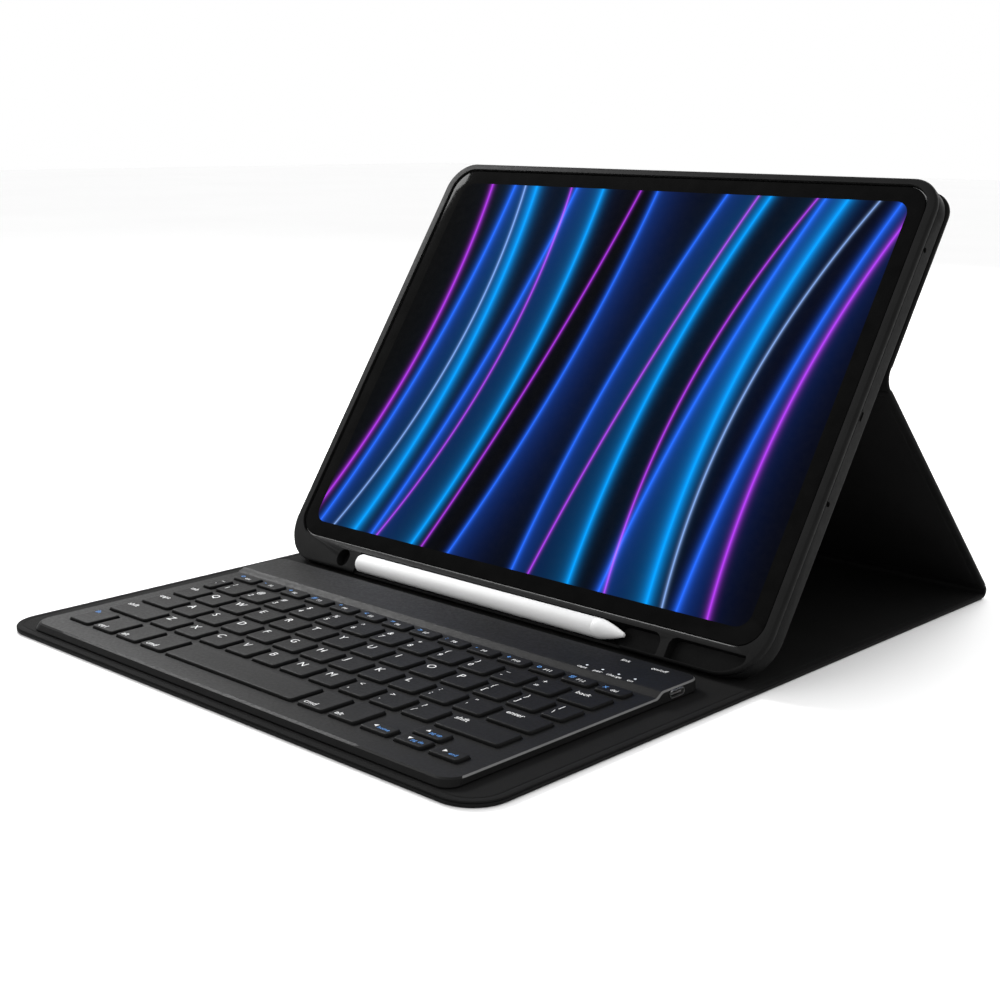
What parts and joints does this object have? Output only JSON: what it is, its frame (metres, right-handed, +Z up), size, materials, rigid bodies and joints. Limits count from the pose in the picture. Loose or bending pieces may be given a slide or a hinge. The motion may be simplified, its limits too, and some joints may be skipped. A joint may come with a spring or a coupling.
{
  "type": "tablet keyboard case",
  "caption": "Folding leather-look tablet case standing open: base cover, folding stand leg, soft tray with a tablet and a stylus trough, and a thin detachable keyboard",
  "frame": {"origin": "middle of the footprint of the open case, on the surface it stands on", "axes": "+X to the right of the user, +Y from the front edge of the base to the rear fold, +Z up"},
  "size_m": [0.29, 0.3538, 0.1979],
  "materials": {
    "cover_leather": "black synthetic leather with a fine pebbled grain",
    "cover_lining": "black brushed microfibre lining",
    "stiffener_board": "grey-brown stiffener board",
    "magnet": "nickel plated magnet strip",
    "soft_shell": "charcoal soft moulded shell, matte",
    "tablet_shell": "bead blasted grey aluminium",
    "screen_glass": "black glass, polished",
    "display": "display panel",
    "camera": "dark camera bump",
    "stylus_shell": "white gloss plastic",
    "keyboard_case": "black moulded plastic, satin",
    "keycap": "black keycaps with light legends",
    "bottom_plate": "dark anodised plate",
    "steel": "thin stamped steel",
    "battery": "foil pouch battery",
    "circuit_board": "circuit board",
    "light_pipe": "clear light pipe"
  },
  "bodies": {
    "base": {"base_skin": "cover_leather", "base_board": "stiffener_board", "base_lining": "cover_lining", "keyboard_magnet_left": "magnet", "keyboard_magnet_right": "magnet", "tray_stop_magnet": "magnet", "rear_crease": "cover_leather"},
    "leg": {"leg_skin": "cover_leather", "leg_board": "stiffener_board", "leg_lining": "cover_lining", "knee_crease": "cover_leather"},
    "screen_side": {"back_skin": "cover_leather", "back_board": "stiffener_board", "back_lining": "cover_lining", "tablet_tray": "soft_shell"},
    "tablet": {"tablet_body": "tablet_shell", "tablet_display": "display", "tablet_glass": "screen_glass", "tablet_camera": "camera"},
    "stylus": {"stylus_barrel": "stylus_shell", "stylus_tip": "stylus_shell"},
    "keyboard": {"keyboard_bottom_plate": "bottom_plate", "keyboard_top_case": "keyboard_case", "key_plate": "steel", "keyboard_battery": "battery", "keyboard_circuit_board": "circuit_board", "usb_port": "steel", "indicator_lights": "light_pipe", "case_screw_1": "steel", "case_screw_2": "steel", "case_screw_3": "steel", "case_screw_4": "steel"},
    "connect_button": {"connect_button": "keycap"},
    "power_switch": {"power_switch": "keycap"},
    "function_keys": {"function_keys": "keycap"},
    "number_keys": {"number_keys": "keycap"},
    "upper_letter_keys": {"upper_letter_keys": "keycap"},
    "home_letter_keys": {"home_letter_keys": "keycap"},
    "lower_letter_keys": {"lower_letter_keys": "keycap"},
    "left_modifier_keys": {"left_modifier_keys": "keycap"},
    "right_modifier_keys": {"right_modifier_keys": "keycap"},
    "backspace_key": {"backspace_key": "keycap"},
    "tab_key": {"tab_key": "keycap"},
    "caps_lock_key": {"caps_lock_key": "keycap"},
    "enter_key": {"enter_key": "keycap"},
    "left_shift_key": {"left_shift_key": "keycap"},
    "right_shift_key": {"right_shift_key": "keycap"},
    "space_bar": {"space_bar": "keycap"},
    "left_arrow_key": {"left_arrow_key": "keycap"},
    "up_arrow_key": {"up_arrow_key": "keycap"},
    "down_arrow_key": {"down_arrow_key": "keycap"},
    "right_arrow_key": {"right_arrow_key": "keycap"}
  },
  "joints": [
    {"name": "rear_fold", "type": "hinge", "parent": "base", "child": "leg", "pos_m": [0, 0.17909, 0.00125], "axis": [1, 0, 0], "range_deg": [-133.68, 0], "deforming": ["rear_crease"]},
    {"name": "knee_fold", "type": "hinge", "parent": "leg", "child": "screen_side", "pos_m": [0, 0.06929, 0.11622], "axis": [1, 0, 0], "range_deg": [0, 77.19], "deforming": ["knee_crease"]},
    {"name": "tablet_release", "type": "slide", "parent": "screen_side", "child": "tablet", "axis": [0, -0.8339, 0.5519], "range_m": [0, 0.03]},
    {"name": "stylus_release", "type": "slide", "parent": "screen_side", "child": "stylus", "axis": [0, -0.8339, 0.5519], "range_m": [0, 0.008]},
    {"name": "keyboard_lift", "type": "slide", "parent": "base", "child": "keyboard", "axis": [0, 0, 1], "range_m": [0, 0.015]},
    {"name": "connect_press", "type": "slide", "parent": "keyboard", "child": "connect_button", "axis": [0, -1, 0], "range_m": [0, 0.0005], "stiffness_N_per_m": 10, "springref_m": -0.03},
    {"name": "power_slide", "type": "slide", "parent": "keyboard", "child": "power_switch", "axis": [1, 0, 0], "range_m": [0, 0.003]},
    {"name": "function_press", "type": "slide", "parent": "keyboard", "child": "function_keys", "axis": [0, 0, -1], "range_m": [0, 0.0011], "stiffness_N_per_m": 840, "springref_m": -0.007},
    {"name": "number_press", "type": "slide", "parent": "keyboard", "child": "number_keys", "axis": [0, 0, -1], "range_m": [0, 0.0011], "stiffness_N_per_m": 780, "springref_m": -0.007},
    {"name": "upper_letter_press", "type": "slide", "parent": "keyboard", "child": "upper_letter_keys", "axis": [0, 0, -1], "range_m": [0, 0.0011], "stiffness_N_per_m": 780, "springref_m": -0.007},
    {"name": "home_letter_press", "type": "slide", "parent": "keyboard", "child": "home_letter_keys", "axis": [0, 0, -1], "range_m": [0, 0.0011], "stiffness_N_per_m": 660, "springref_m": -0.007},
    {"name": "lower_letter_press", "type": "slide", "parent": "keyboard", "child": "lower_letter_keys", "axis": [0, 0, -1], "range_m": [0, 0.0011], "stiffness_N_per_m": 600, "springref_m": -0.007},
    {"name": "left_modifier_press", "type": "slide", "parent": "keyboard", "child": "left_modifier_keys", "axis": [0, 0, -1], "range_m": [0, 0.0011], "stiffness_N_per_m": 240, "springref_m": -0.007},
    {"name": "right_modifier_press", "type": "slide", "parent": "keyboard", "child": "right_modifier_keys", "axis": [0, 0, -1], "range_m": [0, 0.0011], "stiffness_N_per_m": 120, "springref_m": -0.007},
    {"name": "backspace_press", "type": "slide", "parent": "keyboard", "child": "backspace_key", "axis": [0, 0, -1], "range_m": [0, 0.0011], "stiffness_N_per_m": 60, "springref_m": -0.007},
    {"name": "tab_press", "type": "slide", "parent": "keyboard", "child": "tab_key", "axis": [0, 0, -1], "range_m": [0, 0.0011], "stiffness_N_per_m": 60, "springref_m": -0.007},
    {"name": "caps_lock_press", "type": "slide", "parent": "keyboard", "child": "caps_lock_key", "axis": [0, 0, -1], "range_m": [0, 0.0011], "stiffness_N_per_m": 60, "springref_m": -0.007},
    {"name": "enter_press", "type": "slide", "parent": "keyboard", "child": "enter_key", "axis": [0, 0, -1], "range_m": [0, 0.0011], "stiffness_N_per_m": 60, "springref_m": -0.007},
    {"name": "left_shift_press", "type": "slide", "parent": "keyboard", "child": "left_shift_key", "axis": [0, 0, -1], "range_m": [0, 0.0011], "stiffness_N_per_m": 60, "springref_m": -0.007},
    {"name": "right_shift_press", "type": "slide", "parent": "keyboard", "child": "right_shift_key", "axis": [0, 0, -1], "range_m": [0, 0.0011], "stiffness_N_per_m": 60, "springref_m": -0.007},
    {"name": "space_bar_press", "type": "slide", "parent": "keyboard", "child": "space_bar", "axis": [0, 0, -1], "range_m": [0, 0.0011], "stiffness_N_per_m": 180, "springref_m": -0.007},
    {"name": "left_arrow_press", "type": "slide", "parent": "keyboard", "child": "left_arrow_key", "axis": [0, 0, -1], "range_m": [0, 0.0011], "stiffness_N_per_m": 60, "springref_m": -0.007},
    {"name": "up_arrow_press", "type": "slide", "parent": "keyboard", "child": "up_arrow_key", "axis": [0, 0, -1], "range_m": [0, 0.0011], "stiffness_N_per_m": 60, "springref_m": -0.007},
    {"name": "down_arrow_press", "type": "slide", "parent": "keyboard", "child": "down_arrow_key", "axis": [0, 0, -1], "range_m": [0, 0.0011], "stiffness_N_per_m": 60, "springref_m": -0.007},
    {"name": "right_arrow_press", "type": "slide", "parent": "keyboard", "child": "right_arrow_key", "axis": [0, 0, -1], "range_m": [0, 0.0011], "stiffness_N_per_m": 60, "springref_m": -0.007}
  ],
  "couplings": [
    {"joint": "knee_fold", "follows": "rear_fold", "ratio": -0.57736}
  ]
}
